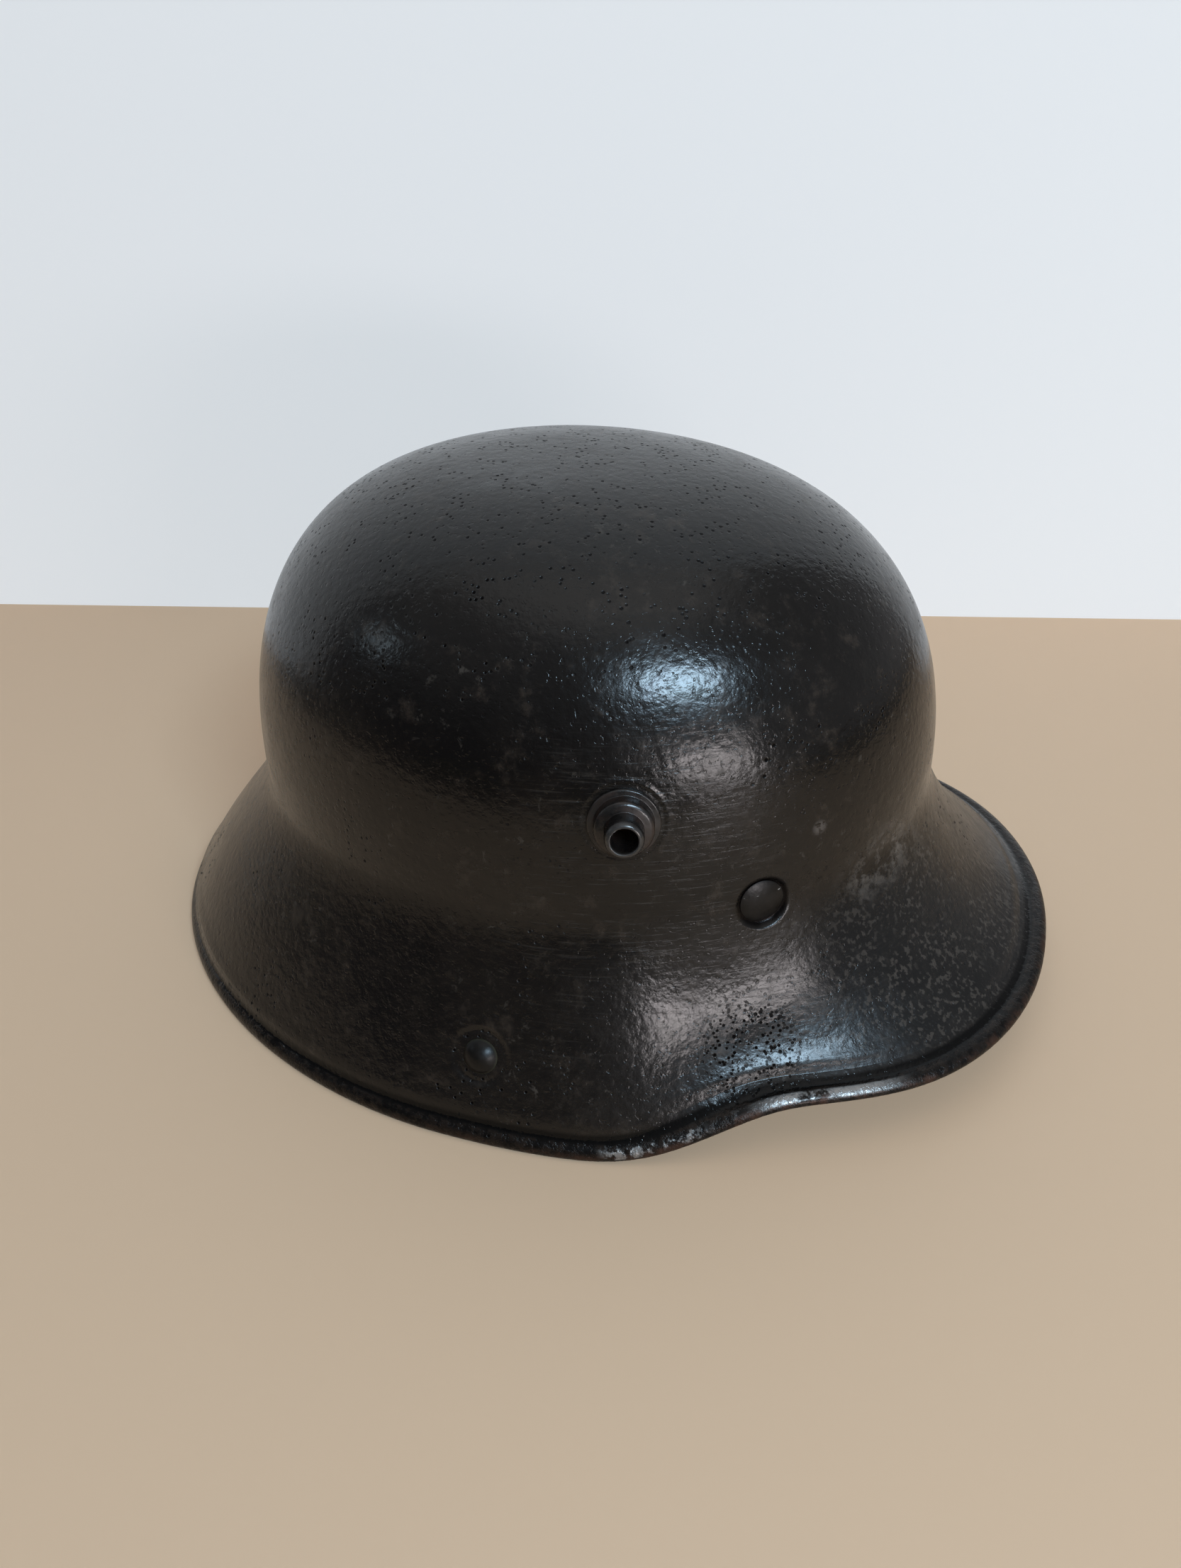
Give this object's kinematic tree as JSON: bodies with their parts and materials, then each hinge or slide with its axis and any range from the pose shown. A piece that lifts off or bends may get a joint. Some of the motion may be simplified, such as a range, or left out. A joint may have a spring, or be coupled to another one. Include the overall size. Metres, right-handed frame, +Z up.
{
  "type": "combat helmet",
  "caption": "Pressed-steel combat helmet with visor, flared skirt and hollow vent lugs, a padded leather liner on split pins and a hooked chin strap that swings under the rim.",
  "frame": {"origin": "on the table, under the middle of the shell's bounding box", "axes": "+X forwards to the visor, +Y to the wearer's left, +Z up to the crown"},
  "size_m": [0.31, 0.246, 0.163],
  "materials": {
    "shell_steel": "dark brown-black oxidised steel, oiled, finely pitted, semi-gloss",
    "fitting_steel": "dark oxidised steel with bright worn edges",
    "inner_steel": "dull grey steel",
    "liner_leather": "worn brown leather, satin",
    "strap_leather": "dark brown leather, satin",
    "cushion_cloth": "coarse unbleached cloth",
    "lace_cord": "twisted cotton cord"
  },
  "bodies": {
    "shell": {"shell": "shell_steel", "vent_lug_right": "fitting_steel", "vent_lug_left": "fitting_steel", "chin_rivet_right": "fitting_steel", "chin_rivet_left": "fitting_steel", "chin_lug_right": "inner_steel", "chin_lug_left": "inner_steel", "liner_pin_front_right": "fitting_steel", "liner_pin_front_left": "fitting_steel", "liner_pin_rear": "fitting_steel", "pin_spacers": "inner_steel", "pin_washers": "inner_steel", "liner_band": "liner_leather", "pad_front": "liner_leather", "pad_rear_right": "liner_leather", "pad_rear_left": "liner_leather", "cushion_front": "cushion_cloth", "cushion_rear_right": "cushion_cloth", "cushion_rear_left": "cushion_cloth", "pad_rivets": "inner_steel", "pad_lace": "lace_cord"},
    "chin_strap": {"chin_strap": "strap_leather", "strap_hook_right": "inner_steel", "strap_hook_left": "inner_steel", "strap_rivets": "inner_steel"},
    "buckle_right": {"buckle_right": "inner_steel"},
    "buckle_left": {"buckle_left": "inner_steel"}
  },
  "joints": [
    {"name": "strap_swing", "type": "hinge", "parent": "shell", "child": "chin_strap", "pos_m": [0.00318, 0, 0.02317], "axis": [0, -1, 0], "range_deg": [0, 150]},
    {"name": "buckle_slide_right", "type": "slide", "parent": "chin_strap", "child": "buckle_right", "axis": [-0.9925, 0, -0.1224], "range_m": [0, 0.01]},
    {"name": "buckle_slide_left", "type": "slide", "parent": "chin_strap", "child": "buckle_left", "axis": [-0.9925, 0, -0.1224], "range_m": [0, 0.01]}
  ]
}
